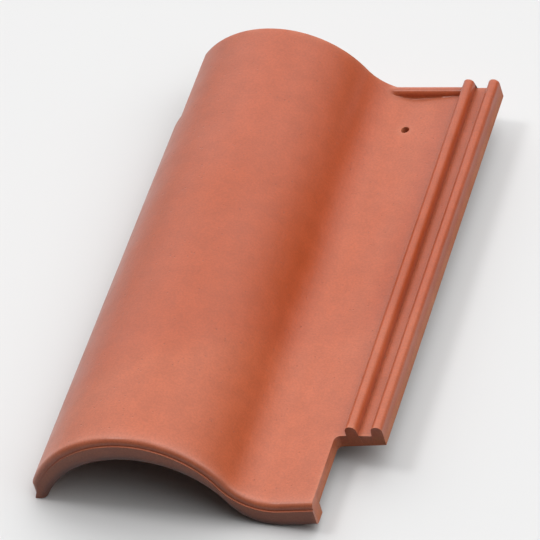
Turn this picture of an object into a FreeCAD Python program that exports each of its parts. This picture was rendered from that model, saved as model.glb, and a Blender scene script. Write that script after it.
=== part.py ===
import FreeCAD, Part
import math
import os
import Sketcher

# Roof pantile: one pressed clay piece with a wide roll on the left and a narrow pan on the right.
# The section is drawn as it lies on a roof: x runs across from the crest of the roll, y up from the
# underside of the pan. The finished tile is then tipped onto the floor, resting on its left foot,
# the pan's nose and the nib. Lengths are in millimetres, slopes in degrees.
SIZES = {
    "tile_length": "440",
    "cover_width": "204",
    "body_thick": "11",
    "roll_rise": "65",
    "roll_radius": "82",
    "roll_taper": "4",
    "pan_radius": "37",
    "pan_slope": "4",
    "foot_reach": "78.5",
    "foot_drop": "48",
    "foot_level": "15",
    "foot_wall": "3",
    "foot_round": "6",
    "head_lap": "68",
    "lap_play": "2",
    "lip_radius": "4.5",
    "ledge_drop": "5.5",
    "ledge_width": "1.2",
    "nose_depth": "10",
    "nose_length": "14",
    "nose_bevel": "2",
    "nose_overrun": "10",
    "lock_gap": "2",
    "rib_height": "9",
    "rib_width": "9",
    "groove_width": "11",
    "notch_round": "4",
    "corner_cut": "10",
    "bar_height": "6",
    "bar_width": "9",
    "nib_width": "44",
    "nib_length": "14",
    "nib_setback": "14",
    "nib_round": "2",
    "hole_diameter": "6",
    "hole_setback": "44",
}

doc = FreeCAD.newDocument("roof_pantile")
sheet = doc.addObject("Spreadsheet::Sheet", "Sizes")
for row, (alias, number) in enumerate(SIZES.items(), start=1):
    sheet.set(f"A{row}", alias)
    sheet.set(f"B{row}", number)
    sheet.setAlias(f"B{row}", alias)
doc.recompute()

body = doc.addObject("PartDesign::Body", "roof_pantile")
body.Label = "roof_pantile"
planes = {feature.Role: feature for feature in body.Origin.OriginFeatures}

# Names for a sketch's own axes, for the ends and centre of a line or arc, and for the origin
LEVEL_AXIS, UPRIGHT_AXIS = range(-1, -3, -1)
START, END, CENTRE = range(1, 4)
ORIGIN = (LEVEL_AXIS, START)
UPWARD = FreeCAD.Vector(0, 0, 1)

# A smaller length in millimetres, or a smaller slope, counts as none when edges are chosen
SLIGHT = 0.01


def amount(text):
    """The present value of a formula, angles in degrees."""
    result = sheet.evalExpression(text)
    return float(getattr(result, "Value", result))


# Shared sketch helpers

def new_sketch(name, plane, offset):
    sketch = body.newObject("Sketcher::SketchObject", name)
    sketch.AttachmentSupport = [(planes[plane], "")]
    sketch.MapMode = "FlatFace"
    sketch.setExpression("AttachmentOffset.Base.z", offset)
    return sketch


def fix(sketch, *constraint):
    return sketch.addConstraint(Sketcher.Constraint(*constraint))


def bind(sketch, text, *constraint):
    """Add a constraint whose size follows a formula of the sheet."""
    index = fix(sketch, *constraint, amount(text))
    sketch.setExpression(f"Constraints[{index}]", text)


def join(sketch, first, second):
    fix(sketch, "Coincident", *first, *second)


def line(sketch, start, end):
    ends = FreeCAD.Vector(*start, 0), FreeCAD.Vector(*end, 0)
    return sketch.addGeometry(Part.LineSegment(*ends), False)


def arc(sketch, centre, radius, first, last):
    circle = Part.Circle(FreeCAD.Vector(*centre, 0), UPWARD, radius)
    return sketch.addGeometry(Part.ArcOfCircle(circle, first, last), False)


def place(sketch, point):
    """Where an end of a drawn arc or line now is."""
    spot = sketch.getPoint(*point)
    return spot.x, spot.y


def four_sides(sketch, corners):
    """Four joined lines, from the first corner round."""
    sides = [line(sketch, *ends) for ends in zip(corners, corners[1:] + corners[:1])]
    for side, following in zip(sides, sides[1:] + sides[:1]):
        join(sketch, (side, END), (following, START))
    return sides


def rectangle(sketch, left, right, bottom, top):
    """A rectangle whose four sides follow formulas."""
    west, east = amount(left), amount(right)
    south, north = amount(bottom), amount(top)
    corners = [(west, south), (east, south), (east, north), (west, north)]
    base, right_side, upper, left_side = four_sides(sketch, corners)
    fix(sketch, "Horizontal", base)
    fix(sketch, "Horizontal", upper)
    fix(sketch, "Vertical", right_side)
    fix(sketch, "Vertical", left_side)
    bind(sketch, left, "DistanceX", *ORIGIN, base, START)
    bind(sketch, right, "DistanceX", *ORIGIN, base, END)
    bind(sketch, bottom, "DistanceY", *ORIGIN, base, START)
    bind(sketch, top, "DistanceY", *ORIGIN, upper, START)


# The S curve of the tile

SPAN = "(Sizes.roll_radius + Sizes.pan_radius)"
PAN_CENTRE = f"sqrt({SPAN}^2 - ({SPAN} - Sizes.roll_rise)^2)"
CREST = "(Sizes.body_thick + Sizes.roll_rise)"
FOOT_RADIUS = "((Sizes.foot_reach^2 + Sizes.foot_drop^2) / (2 * Sizes.foot_drop))"

STEP = "(Sizes.body_thick + Sizes.nose_depth)"

# The underside of the roll ends in an upright foot wall above the land. At the front this sets how far
# the arc has turned there, and the turn is kept along the tile
INNER_RADIUS = f"({FOOT_RADIUS} - Sizes.body_thick)"
INNER_DROP = "(Sizes.roll_rise - Sizes.foot_level - Sizes.foot_wall)"
INNER_REACH = f"sqrt(2 * {INNER_RADIUS} * {INNER_DROP} - {INNER_DROP}^2)"

# Under the lap the left side has shrunk so far that the foot wall of the next course clears it
LAP_SHARE = "(1 - Sizes.head_lap / (Sizes.tile_length - Sizes.nose_length))"
LAP_HEIGHT = f"({CREST} - {STEP} - Sizes.foot_level)"
LAP_REACH = f"({INNER_REACH} - Sizes.lap_play)"
LAP_SCALE = f"(({LAP_REACH}^2 + {LAP_HEIGHT}^2) / (2 * {FOOT_RADIUS} * {LAP_HEIGHT}))"
FOOT_TAPER = f"(Sizes.foot_reach * (1 - {LAP_SCALE}) / {LAP_SHARE})"


class Roll:
    """Formulas of the section where the roll has narrowed by a share of its full taper. The pan
    widens by as much, and the left side shrinks as a whole, so that every arc keeps its angle."""

    def __init__(self, share):
        self.radius = f"(Sizes.roll_radius - Sizes.roll_taper * {share})"
        self.pan_radius = f"(Sizes.pan_radius + Sizes.roll_taper * {share})"
        self.reach = f"(Sizes.foot_reach - {FOOT_TAPER} * {share})"
        left_scale = f"({self.reach} / Sizes.foot_reach)"
        self.drop = f"(Sizes.foot_drop * {left_scale})"
        self.bend = f"(Sizes.foot_round * {left_scale})"
        self.foot_radius = f"({FOOT_RADIUS} * {left_scale})"
        inner_scale = f"(({self.foot_radius} - Sizes.body_thick) / {INNER_RADIUS})"
        self.inner_reach = f"({INNER_REACH} * {inner_scale})"
        self.inner_drop = f"({INNER_DROP} * {inner_scale})"


FRONT_ROLL = Roll("0")
HEAD_ROLL = Roll("1")
LAP_ROLL = Roll(LAP_SHARE)


def s_curve(sketch, roll, left_end, drop="0", sink="0"):
    """Left and right arcs of the roll and the arc of the pan, set in from the upper face by a drop
    square to it and lowered by a sink. The left arc is first drawn down to the height of left_end."""
    crest_text = f"{CREST} - ({drop}) - ({sink})"
    axis_text = f"Sizes.body_thick + {roll.pan_radius} - ({sink})"
    foot_text = f"{roll.foot_radius} - ({drop})"
    roll_text = f"{roll.radius} - ({drop})"
    pan_text = f"{roll.pan_radius} + ({drop})"
    crest = amount(crest_text)
    foot_radius = amount(foot_text)
    roll_radius = amount(roll_text)
    pan_centre = amount(PAN_CENTRE), amount(axis_text)
    quarter = math.pi / 2
    foot_turn = math.acos(1 - (crest - amount(left_end)) / foot_radius)
    roll_turn = math.asin(pan_centre[0] / (roll_radius + amount(pan_text)))
    pan_end = 3 * quarter + math.radians(amount("Sizes.pan_slope"))

    left = arc(sketch, (0, crest - foot_radius), foot_radius, quarter, quarter + foot_turn)
    right = arc(sketch, (0, crest - roll_radius), roll_radius, quarter - roll_turn, quarter)
    pan = arc(sketch, pan_centre, amount(pan_text), 3 * quarter - roll_turn, pan_end)
    join(sketch, (left, START), (right, END))
    fix(sketch, "Tangent", right, START, pan, START)
    fix(sketch, "PointOnObject", left, START, UPRIGHT_AXIS)
    fix(sketch, "PointOnObject", left, CENTRE, UPRIGHT_AXIS)
    fix(sketch, "PointOnObject", right, CENTRE, UPRIGHT_AXIS)
    bind(sketch, crest_text, "DistanceY", *ORIGIN, left, START)
    bind(sketch, foot_text, "Radius", left)
    bind(sketch, roll_text, "Radius", right)
    bind(sketch, pan_text, "Radius", pan)
    bind(sketch, axis_text, "DistanceY", *ORIGIN, pan, CENTRE)
    return (left, END), (pan, END)


def seat_line(sketch, pan_end, far_side):
    """The flat continuation of the pan to the right, tangent to its arc."""
    begin = place(sketch, pan_end)
    slope = math.radians(amount("Sizes.pan_slope"))
    finish = far_side, begin[1] + math.tan(slope) * (far_side - begin[0])
    seat = line(sketch, begin, finish)
    fix(sketch, "Tangent", *pan_end, seat, START)
    lean = fix(sketch, "Angle", seat, slope)
    sketch.setExpression(f"Constraints[{lean}]", "Sizes.pan_slope * 1deg")
    return seat, finish


# The neighbouring tile's foot covers the pan's right edge; the nose ends under that foot and the
# first lock rib stands beyond it, also where the foot has drawn in at the head
COVERED = "Sizes.cover_width - Sizes.foot_reach"
NOSE_END = f"{COVERED} + Sizes.nose_overrun"
LAND_WIDTH = f"(Sizes.foot_reach - {INNER_REACH})"
RIB_START = f"{COVERED} + {FOOT_TAPER} + {LAND_WIDTH} + Sizes.lock_gap"
RIGHT_EDGE = f"{RIB_START} + 2 * Sizes.rib_width + Sizes.groove_width"


def lock_rib(sketch, last, spot):
    """A round-topped rib: its near side and its top, from the end of the line before it."""
    width = amount("Sizes.rib_width")
    shoulder = spot[0], spot[1] + amount("Sizes.rib_height") - width / 2
    near_side = line(sketch, spot, shoulder)
    top = arc(sketch, (shoulder[0] + width / 2, shoulder[1]), width / 2, 0, math.pi)
    join(sketch, (last, END), (near_side, START))
    fix(sketch, "Vertical", near_side)
    fix(sketch, "Tangent", near_side, END, top, END)
    bind(sketch, "Sizes.rib_width / 2", "Radius", top)
    bind(sketch, "Sizes.rib_height - Sizes.rib_width / 2", "DistanceY", near_side, START, near_side, END)
    return top, (shoulder[0] + width, shoulder[1])


def far_side(sketch, top, shoulder, foot):
    """The upright line that leads down from a rib's round top."""
    side = line(sketch, shoulder, foot)
    fix(sketch, "Tangent", top, START, side, START)
    fix(sketch, "Vertical", side)
    return side


def full_section(name, offset, roll):
    """Outline of the tile's body: S curve, left foot and the two lock ribs at the right."""
    sketch = new_sketch(name, "XZ_Plane", offset)
    inner_crest = f"{CREST} - Sizes.body_thick"
    top_left, top_right = s_curve(sketch, roll, f"{CREST} - {roll.drop}")
    inner_end = f"{inner_crest} - {roll.inner_drop}"
    low_left, low_right = s_curve(sketch, roll, inner_end, drop="Sizes.body_thick")

    seat, spot = seat_line(sketch, top_right, amount(RIB_START))
    bind(sketch, RIB_START, "DistanceX", *ORIGIN, seat, END)
    inner_top, shoulder = lock_rib(sketch, seat, spot)
    inner_side = far_side(sketch, inner_top, shoulder, (shoulder[0], spot[1]))
    bind(sketch, "Sizes.rib_height - Sizes.rib_width / 2", "DistanceY", inner_side, END, inner_side, START)
    begin = shoulder[0], spot[1]
    finish = begin[0] + amount("Sizes.groove_width"), begin[1]
    groove = line(sketch, begin, finish)
    join(sketch, (inner_side, END), (groove, START))
    fix(sketch, "Horizontal", groove)
    bind(sketch, "Sizes.groove_width", "DistanceX", groove, START, groove, END)
    outer_top, shoulder = lock_rib(sketch, groove, finish)
    under, low_spot = seat_line(sketch, low_right, shoulder[0])
    edge = far_side(sketch, outer_top, shoulder, low_spot)
    join(sketch, (edge, END), (under, END))

    corner = -amount(roll.reach), amount("Sizes.foot_level")
    rounding = amount(roll.bend)
    top_spot = place(sketch, top_left)
    low_spot = place(sketch, low_left)
    inner_corner = low_spot[0], corner[1]
    face = line(sketch, corner, (corner[0], top_spot[1] - rounding))
    bend = arc(sketch, (corner[0] + rounding, top_spot[1] - rounding), rounding, 3 * math.pi / 4, math.pi)
    inner_face = line(sketch, low_spot, inner_corner)
    land = line(sketch, inner_corner, corner)
    fix(sketch, "Vertical", face)
    fix(sketch, "Vertical", inner_face)
    fix(sketch, "Horizontal", land)
    fix(sketch, "Tangent", *top_left, bend, START)
    fix(sketch, "Tangent", bend, END, face, END)
    join(sketch, (inner_face, START), low_left)
    join(sketch, (inner_face, END), (land, START))
    join(sketch, (land, END), (face, START))
    bind(sketch, roll.bend, "Radius", bend)
    bind(sketch, roll.reach, "DistanceX", face, START, *ORIGIN)
    bind(sketch, roll.inner_reach, "DistanceX", inner_face, START, *ORIGIN)
    bind(sketch, "Sizes.foot_level", "DistanceY", *ORIGIN, face, START)
    return sketch


# Places along the tile, the step from course to course, and the cut at the head's left corner
FRONT = "-Sizes.tile_length / 2"
HEAD = "Sizes.tile_length / 2"
LAP = "(Sizes.head_lap + Sizes.lap_play)"
CUT = f"(Sizes.corner_cut - {HEAD_ROLL.reach})"

# The weather bar runs from inside the roll's flank, where that is as high as the bar, to the first rib
BAR_TO_AXIS = f"({HEAD_ROLL.pan_radius} - Sizes.bar_height)"
BAR_HALF = f"(sqrt({HEAD_ROLL.pan_radius}^2 - {BAR_TO_AXIS}^2) + Sizes.body_thick / 2)"
BAR_LEFT = f"({PAN_CENTRE} - {BAR_HALF})"
BAR_RIGHT = f"({RIB_START} + Sizes.rib_width / 2)"
BAR_ROOT = "Sizes.body_thick - Sizes.bar_height / 2"
BAR_SHOULDER = "Sizes.body_thick + Sizes.bar_height - Sizes.bar_width / 2"

# The nib stands under the middle of the pan, rooted half way into the clay
NIB_LEFT = f"{PAN_CENTRE} - Sizes.nib_width / 2"
NIB_RIGHT = f"{PAN_CENTRE} + Sizes.nib_width / 2"
NIB_ROOT = "Sizes.body_thick / 2"

# Floor line of the resting tile: through the left foot, tangent to the nose under the pan
FOOT_TO_PAN = f"({PAN_CENTRE} + Sizes.foot_reach)"
FOOT_TO_AXIS = f"({LAP_ROLL.pan_radius} - Sizes.nose_depth - Sizes.foot_level)"
SIGHT = f"hypot({FOOT_TO_PAN}; {FOOT_TO_AXIS})"
TIP = f"(asin({LAP_ROLL.pan_radius} / {SIGHT}) - atan2({FOOT_TO_AXIS}; {FOOT_TO_PAN}))"


def floor_depth(across):
    """Depth of the floor line below the pan's underside, at a distance from the crest."""
    return f"tan({TIP}) * ({across} + Sizes.foot_reach) - Sizes.foot_level"


def nose_section(name, offset):
    """The band from the ledge down to the curve on which the nose meets the tile below."""
    sketch = new_sketch(name, "XZ_Plane", offset)
    top_left, top_right = s_curve(sketch, FRONT_ROLL, "Sizes.foot_level", drop="Sizes.ledge_drop")
    low_left, low_right = s_curve(sketch, LAP_ROLL, "Sizes.foot_level", sink=STEP)
    upper, high_spot = seat_line(sketch, top_right, amount(NOSE_END))
    lower, low_spot = seat_line(sketch, low_right, amount(NOSE_END))
    edge = line(sketch, high_spot, low_spot)
    land = line(sketch, place(sketch, top_left), place(sketch, low_left))
    fix(sketch, "Vertical", edge)
    fix(sketch, "Horizontal", land)
    join(sketch, (upper, END), (edge, START))
    join(sketch, (lower, END), (edge, END))
    join(sketch, (land, START), top_left)
    join(sketch, (land, END), low_left)
    bind(sketch, NOSE_END, "DistanceX", *ORIGIN, edge, START)
    bind(sketch, "Sizes.foot_level", "DistanceY", *ORIGIN, land, START)
    return sketch


def bar_section(name, offset):
    """A round-backed bar flush with the head, drawn along the tile, rooted in the pan's clay."""
    sketch = new_sketch(name, "YZ_Plane", offset)
    root = amount(BAR_ROOT)
    shoulder = amount(BAR_SHOULDER)
    back = amount(HEAD)
    width = amount("Sizes.bar_width")
    base = line(sketch, (back - width, root), (back, root))
    rear = line(sketch, (back, root), (back, shoulder))
    top = arc(sketch, (back - width / 2, shoulder), width / 2, 0, math.pi)
    fore = line(sketch, (back - width, shoulder), (back - width, root))
    join(sketch, (base, END), (rear, START))
    fix(sketch, "Tangent", rear, END, top, START)
    fix(sketch, "Tangent", top, END, fore, START)
    join(sketch, (fore, END), (base, START))
    fix(sketch, "Horizontal", base)
    fix(sketch, "Vertical", rear)
    fix(sketch, "Vertical", fore)
    bind(sketch, "Sizes.bar_width / 2", "Radius", top)
    bind(sketch, HEAD, "DistanceX", *ORIGIN, base, END)
    bind(sketch, BAR_ROOT, "DistanceY", *ORIGIN, base, END)
    bind(sketch, BAR_SHOULDER, "DistanceY", *ORIGIN, rear, END)
    return sketch


def nib_section(name, offset):
    """An upright block from inside the pan's clay down to the floor line."""
    sketch = new_sketch(name, "XZ_Plane", offset)
    left, right = amount(NIB_LEFT), amount(NIB_RIGHT)
    left_foot, right_foot = -amount(floor_depth(NIB_LEFT)), -amount(floor_depth(NIB_RIGHT))
    root = amount(NIB_ROOT)
    corners = [(left, left_foot), (right, right_foot), (right, root), (left, root)]
    floor_side, right_side, top_side, left_side = four_sides(sketch, corners)
    fix(sketch, "Vertical", right_side)
    fix(sketch, "Vertical", left_side)
    fix(sketch, "Horizontal", top_side)
    bind(sketch, NIB_ROOT, "DistanceY", *ORIGIN, top_side, START)
    bind(sketch, NIB_LEFT, "DistanceX", *ORIGIN, floor_side, START)
    bind(sketch, NIB_RIGHT, "DistanceX", *ORIGIN, floor_side, END)
    bind(sketch, floor_depth(NIB_LEFT), "DistanceY", floor_side, START, *ORIGIN)
    bind(sketch, floor_depth(NIB_RIGHT), "DistanceY", floor_side, END, *ORIGIN)
    return sketch


def nail_hole_outline(name):
    sketch = new_sketch(name, "XY_Plane", "0")
    station = f"{HEAD} - Sizes.hole_setback"
    centre = FreeCAD.Vector(amount(PAN_CENTRE), amount(station), 0)
    rim = sketch.addGeometry(Part.Circle(centre, UPWARD, amount("Sizes.hole_diameter / 2")), False)
    bind(sketch, "Sizes.hole_diameter / 2", "Radius", rim)
    bind(sketch, PAN_CENTRE, "DistanceX", *ORIGIN, rim, CENTRE)
    bind(sketch, station, "DistanceY", *ORIGIN, rim, CENTRE)
    return sketch


# Choosing edges by where they lie

def edge_names(shape, wanted):
    return [f"Edge{number}" for number, edge in enumerate(shape.Edges, start=1) if wanted(shape, edge)]


def near(first, second):
    return abs(first - second) < SLIGHT


def lies_across(edge, station):
    """True where the whole edge lies in the upright plane at that station along the tile."""
    return near(edge.BoundBox.YMin, station) and near(edge.BoundBox.YMax, station)


def middle_of(edge):
    return edge.valueAt((edge.FirstParameter + edge.LastParameter) / 2)


def facing(shape, edge):
    """Upward parts of the normals of the faces that meet in an edge."""
    spot = middle_of(edge)
    faces = shape.ancestorsOfType(edge, Part.Face)
    return [face.normalAt(*face.Surface.parameter(spot)).z for face in faces]


def is_notch_corner(shape, edge):
    spot = middle_of(edge)
    upright = near(edge.BoundBox.XLength, 0) and near(edge.BoundBox.YLength, 0)
    return upright and near(spot.x, amount(NOSE_END)) and near(spot.y, amount(f"{FRONT} + {LAP}"))


def is_lip_edge(shape, edge):
    return lies_across(edge, amount(f"{FRONT} + Sizes.ledge_width")) and max(facing(shape, edge)) > SLIGHT


def is_nose_edge(shape, edge):
    """The lower front edges of the nose, without the foot's flat land."""
    on_land = near(middle_of(edge).z, amount("Sizes.foot_level"))
    return lies_across(edge, amount(FRONT)) and min(facing(shape, edge)) < -SLIGHT and not on_land


def is_nib_edge(shape, edge):
    """The edges of the nib's flat foot, the only ones wholly below the pan in the head's half."""
    return edge.BoundBox.ZMax < 0 and edge.BoundBox.YMin > 0


# Features of the body

def soften(kind, name, measure, size, wanted):
    """Round or bevel the wanted edges of what has been built so far."""
    before = body.Tip
    feature = body.newObject(kind, name)
    feature.Base = (before, edge_names(before.Shape, wanted))
    feature.setExpression(measure, size)
    doc.recompute()


def round_off(name, radius, wanted):
    soften("PartDesign::Fillet", name, "Radius", radius, wanted)


def bevel(name, size, wanted):
    soften("PartDesign::Chamfer", name, "Size", size, wanted)


def pad(name, sketch, length, backwards=False):
    feature = body.newObject("PartDesign::Pad", name)
    feature.Profile = sketch
    feature.Reversed = backwards
    feature.setExpression("Length", length)
    doc.recompute()


def cut_through(name, sketch):
    pocket = body.newObject("PartDesign::Pocket", name)
    pocket.Profile = sketch
    pocket.Type = "ThroughAll"
    pocket.Midplane = True
    doc.recompute()


# Body of the tile: straight behind the front edge, then lofted to the narrower head section
front = full_section("front_section", "Sizes.tile_length / 2 - Sizes.ledge_width", FRONT_ROLL)
pad("front_run", front, "Sizes.nose_length - Sizes.ledge_width", backwards=True)
shell_start = full_section("shell_start", "Sizes.tile_length / 2 - Sizes.nose_length", FRONT_ROLL)
shell_end = full_section("shell_end", "-Sizes.tile_length / 2", HEAD_ROLL)
shell = body.newObject("PartDesign::AdditiveLoft", "shell")
shell.Profile = shell_start
shell.Sections = [shell_end]
shell.Ruled = True
doc.recompute()

# The lock stops short of the front, where the next course lies
lock_notch_outline = new_sketch("lock_notch_outline", "XY_Plane", "0")
rectangle(lock_notch_outline, NOSE_END, f"{RIGHT_EDGE} + {LAP}", f"{FRONT} - {LAP}", f"{FRONT} + {LAP}")
cut_through("lock_notch", lock_notch_outline)
round_off("notch_corner", "Sizes.notch_round", is_notch_corner)

# Front: rounded lip, then the nose that stands out below it by the ledge
round_off("lip", "Sizes.lip_radius", is_lip_edge)
pad("nose", nose_section("nose_section", HEAD), "Sizes.nose_length", backwards=True)
bevel("nose_edge", "Sizes.nose_bevel", is_nose_edge)

# Head: weather bar across the pan, and the roll's corner cut back beside the neighbouring nose
pad("bar", bar_section("bar_section", BAR_LEFT), f"{BAR_RIGHT} - {BAR_LEFT}")
corner_outline = new_sketch("corner_outline", "XY_Plane", "0")
rectangle(corner_outline, f"{CUT} - Sizes.cover_width", CUT, f"{HEAD} - {LAP}", f"{HEAD} + {LAP}")
cut_through("corner_notch", corner_outline)

# Fixings: hanging nib and nail hole
pad("nib", nib_section("nib_section", f"Sizes.nib_setback - {HEAD}"), "Sizes.nib_length")
round_off("nib_edges", "Sizes.nib_round", is_nib_edge)
cut_through("nail_hole", nail_hole_outline("hole_outline"))

# Tip the tile onto the floor and bring the middle of its footprint to the origin
tipped = FreeCAD.Rotation(FreeCAD.Vector(0, -1, 0), amount(TIP))
body.Placement = FreeCAD.Placement(FreeCAD.Vector(), tipped)
box = body.Shape.optimalBoundingBox()
body.Placement = FreeCAD.Placement(FreeCAD.Vector(-box.Center.x, -box.Center.y, -box.ZMin), tipped)
doc.recompute()

# Check every object, then write the solid
for item in doc.Objects:
    if "Invalid" in item.State or "Error" in item.State:
        raise RuntimeError(f"{item.Name} failed: {item.State}")
if body.Shape.isNull() or not body.Shape.isValid():
    raise RuntimeError("the tile's shape is not valid")
os.makedirs("parts", exist_ok=True)
body.Shape.exportStep(f"parts/{body.Label}.step")
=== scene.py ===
import math
from collections import namedtuple

import bmesh
import bpy
import numpy as np
from mathutils import Matrix, Vector, noise
from mathutils.kdtree import KDTree


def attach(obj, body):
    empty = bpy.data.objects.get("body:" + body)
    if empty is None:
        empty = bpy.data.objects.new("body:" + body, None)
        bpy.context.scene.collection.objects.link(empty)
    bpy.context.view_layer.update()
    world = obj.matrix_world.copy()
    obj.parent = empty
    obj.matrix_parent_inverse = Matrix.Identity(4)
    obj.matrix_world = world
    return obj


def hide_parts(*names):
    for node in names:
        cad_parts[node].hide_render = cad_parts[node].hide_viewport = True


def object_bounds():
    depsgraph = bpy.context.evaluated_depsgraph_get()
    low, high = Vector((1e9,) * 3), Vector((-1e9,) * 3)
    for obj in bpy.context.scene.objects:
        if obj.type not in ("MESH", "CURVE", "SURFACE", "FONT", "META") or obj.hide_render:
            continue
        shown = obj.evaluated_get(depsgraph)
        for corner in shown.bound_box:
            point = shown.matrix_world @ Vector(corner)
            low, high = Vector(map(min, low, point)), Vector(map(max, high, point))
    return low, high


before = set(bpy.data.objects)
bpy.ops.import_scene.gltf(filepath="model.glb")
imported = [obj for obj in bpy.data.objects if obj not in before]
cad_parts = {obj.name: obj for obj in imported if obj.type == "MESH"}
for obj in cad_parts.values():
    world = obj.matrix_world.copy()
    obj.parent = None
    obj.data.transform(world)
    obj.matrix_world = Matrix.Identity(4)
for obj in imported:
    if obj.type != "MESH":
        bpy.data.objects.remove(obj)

cad_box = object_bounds()

# Sizes of the laid tile in millimetres: x across from the crest, y to the head, z up from under the pan
TILE_LENGTH = 440.0
COVER_WIDTH = 204.0
BODY_THICK = 11.0
ROLL_RISE = 65.0
ROLL_RADIUS = 82.0
ROLL_TAPER = 4.0
PAN_RADIUS = 37.0
PAN_SLOPE = math.radians(4.0)
FOOT_REACH = 78.5
FOOT_DROP = 48.0
FOOT_LEVEL = 15.0
FOOT_WALL = 3.0
FOOT_ROUND = 6.0
HEAD_LAP = 68.0
LAP_PLAY = 2.0
LIP_RADIUS = 4.5
LEDGE_DROP = 5.5
LEDGE_WIDTH = 1.2
NOSE_DEPTH = 10.0
NOSE_LENGTH = 14.0
NOSE_ROUND = 4.0
NOSE_OVERRUN = 10.0
LOCK_GAP = 2.0
RIB_HEIGHT = 9.0
RIB_WIDTH = 9.0
GROOVE_WIDTH = 11.0
NOTCH_ROUND = 4.0
CORNER_CUT = 10.0
BAR_HEIGHT = 6.0
BAR_WIDTH = 9.0
BAR_FILLET = 1.5
BAR_FOOT = 2.25
BAR_FOOT_SLOPE = 2.5
NIB_WIDTH = 44.0
NIB_LENGTH = 14.0
NIB_SETBACK = 14.0
NIB_ROUND = 2.0
NIB_FLARE = 2.5
HOLE_DIAMETER = 6.0
HOLE_SETBACK = 44.0
MILLIMETRE = 0.001

# What follows from the sizes
CREST = BODY_THICK + ROLL_RISE
SPAN = ROLL_RADIUS + PAN_RADIUS
PAN_CENTRE = math.sqrt(SPAN**2 - (SPAN - ROLL_RISE) ** 2)
FLANK_TURN = math.asin(PAN_CENTRE / SPAN)
FOOT_RADIUS = (FOOT_REACH**2 + FOOT_DROP**2) / (2 * FOOT_DROP)
STEP = BODY_THICK + NOSE_DEPTH
INNER_RADIUS = FOOT_RADIUS - BODY_THICK
INNER_DROP = ROLL_RISE - FOOT_LEVEL - FOOT_WALL
INNER_REACH = math.sqrt(2 * INNER_RADIUS * INNER_DROP - INNER_DROP**2)
INNER_TURN = math.asin(INNER_REACH / INNER_RADIUS)
LAP_SHARE = 1 - HEAD_LAP / (TILE_LENGTH - NOSE_LENGTH)
LAP_HEIGHT = CREST - STEP - FOOT_LEVEL
LAP_REACH = INNER_REACH - LAP_PLAY
LAP_SCALE = (LAP_REACH**2 + LAP_HEIGHT**2) / (2 * FOOT_RADIUS * LAP_HEIGHT)
FOOT_TAPER = FOOT_REACH * (1 - LAP_SCALE) / LAP_SHARE
LAP_PAN_RADIUS = PAN_RADIUS + ROLL_TAPER * LAP_SHARE
COVERED = COVER_WIDTH - FOOT_REACH
NOSE_END = COVERED + NOSE_OVERRUN
RIB_START = COVERED + FOOT_TAPER + FOOT_REACH - INNER_REACH + LOCK_GAP
RIGHT_EDGE = RIB_START + 2 * RIB_WIDTH + GROOVE_WIDTH
FRONT = -TILE_LENGTH / 2
HEAD = TILE_LENGTH / 2
SHELL_START = FRONT + NOSE_LENGTH
LAP = HEAD_LAP + LAP_PLAY
NOTCH_BACK = FRONT + LAP
CUT_FRONT = HEAD - LAP
CUT = CORNER_CUT - FOOT_REACH + FOOT_TAPER
BAR_RADIUS = BAR_WIDTH / 2
BAR_MIDDLE = HEAD - BAR_RADIUS
BAR_FRONT = HEAD - BAR_WIDTH
BAR_START = BAR_FRONT - BAR_FOOT
BAR_SHOULDER = BODY_THICK + BAR_HEIGHT - BAR_RADIUS
BAR_RIGHT = RIB_START + RIB_WIDTH / 2
HOLE_STATION = HEAD - HOLE_SETBACK
NIB_BACK = HEAD - NIB_SETBACK

# Lean of the resting tile: the floor runs through the left foot and touches the nose under the pan
FOOT_TO_PAN = PAN_CENTRE + FOOT_REACH
FOOT_TO_AXIS = LAP_PAN_RADIUS - NOSE_DEPTH - FOOT_LEVEL
AXIS_TO_FLOOR = math.asin(LAP_PAN_RADIUS / math.hypot(FOOT_TO_PAN, FOOT_TO_AXIS))
TIP = AXIS_TO_FLOOR - math.atan2(FOOT_TO_AXIS, FOOT_TO_PAN)
LEAN = Matrix.Rotation(-TIP, 3, "Y")

# Counts of mesh steps across the tile, from the foot to the right edge
FACE_STEPS = 5
BEND_STEPS = 6
SHOULDER_STEPS = 8
LEFT_STEPS = 24
RIGHT_STEPS = 30
PAN_STEPS = 20
HOLE_STEPS = 6
SEAT_STEPS = 9
GAP_STEPS = 2
RIB_SIDE_STEPS = 3
RIB_TOP_STEPS = 12
GROOVE_STEPS = 5
CUT_COLUMN = FACE_STEPS + BEND_STEPS + SHOULDER_STEPS
HOLE_COLUMN = CUT_COLUMN + LEFT_STEPS + RIGHT_STEPS + PAN_STEPS
NOTCH_COLUMN = HOLE_COLUMN + HOLE_STEPS + SEAT_STEPS

# Counts of mesh steps along the tile; the upper and the lower grid have as many rows
LEDGE_ROWS = 2
LIP_STEPS = 7
NOSE_ROUND_STEPS = 6
NOSE_UNDER_STEPS = 7
NOSE_BACK_STEPS = 5
FRONT_RUN_STEPS = NOSE_ROUND_STEPS + NOSE_UNDER_STEPS + NOSE_BACK_STEPS - LIP_STEPS - LEDGE_ROWS
BAR_FOOT_STEPS = 4
BAR_ROUND_STEPS = 12

# Counts of mesh steps round the notch's corner and round the nib
WEB_STEPS = 6
NIB_CORNER_STEPS = 4
NIB_SIDE_STEPS = 12
NIB_ROUND_STEPS = 4

# Lengths of the mesh in millimetres: spacing of rows, half the block at the nail hole, margin of the nib
BODY_SPACING = 3.2
HOLE_BLOCK = 6.0
NIB_MARGIN = 2.0


# Rows of points across the tile, as pairs of x and z

Roll = namedtuple("Roll", "reach left right pan")


def run(first, last, steps):
    """Evenly spaced values from the first up to, but without, the last."""
    return np.linspace(first, last, steps, endpoint=False)


def straight(start, end, steps):
    """Evenly spaced points from the start up to, but without, the end."""
    return np.column_stack([run(start[0], end[0], steps), run(start[1], end[1], steps)])


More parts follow.
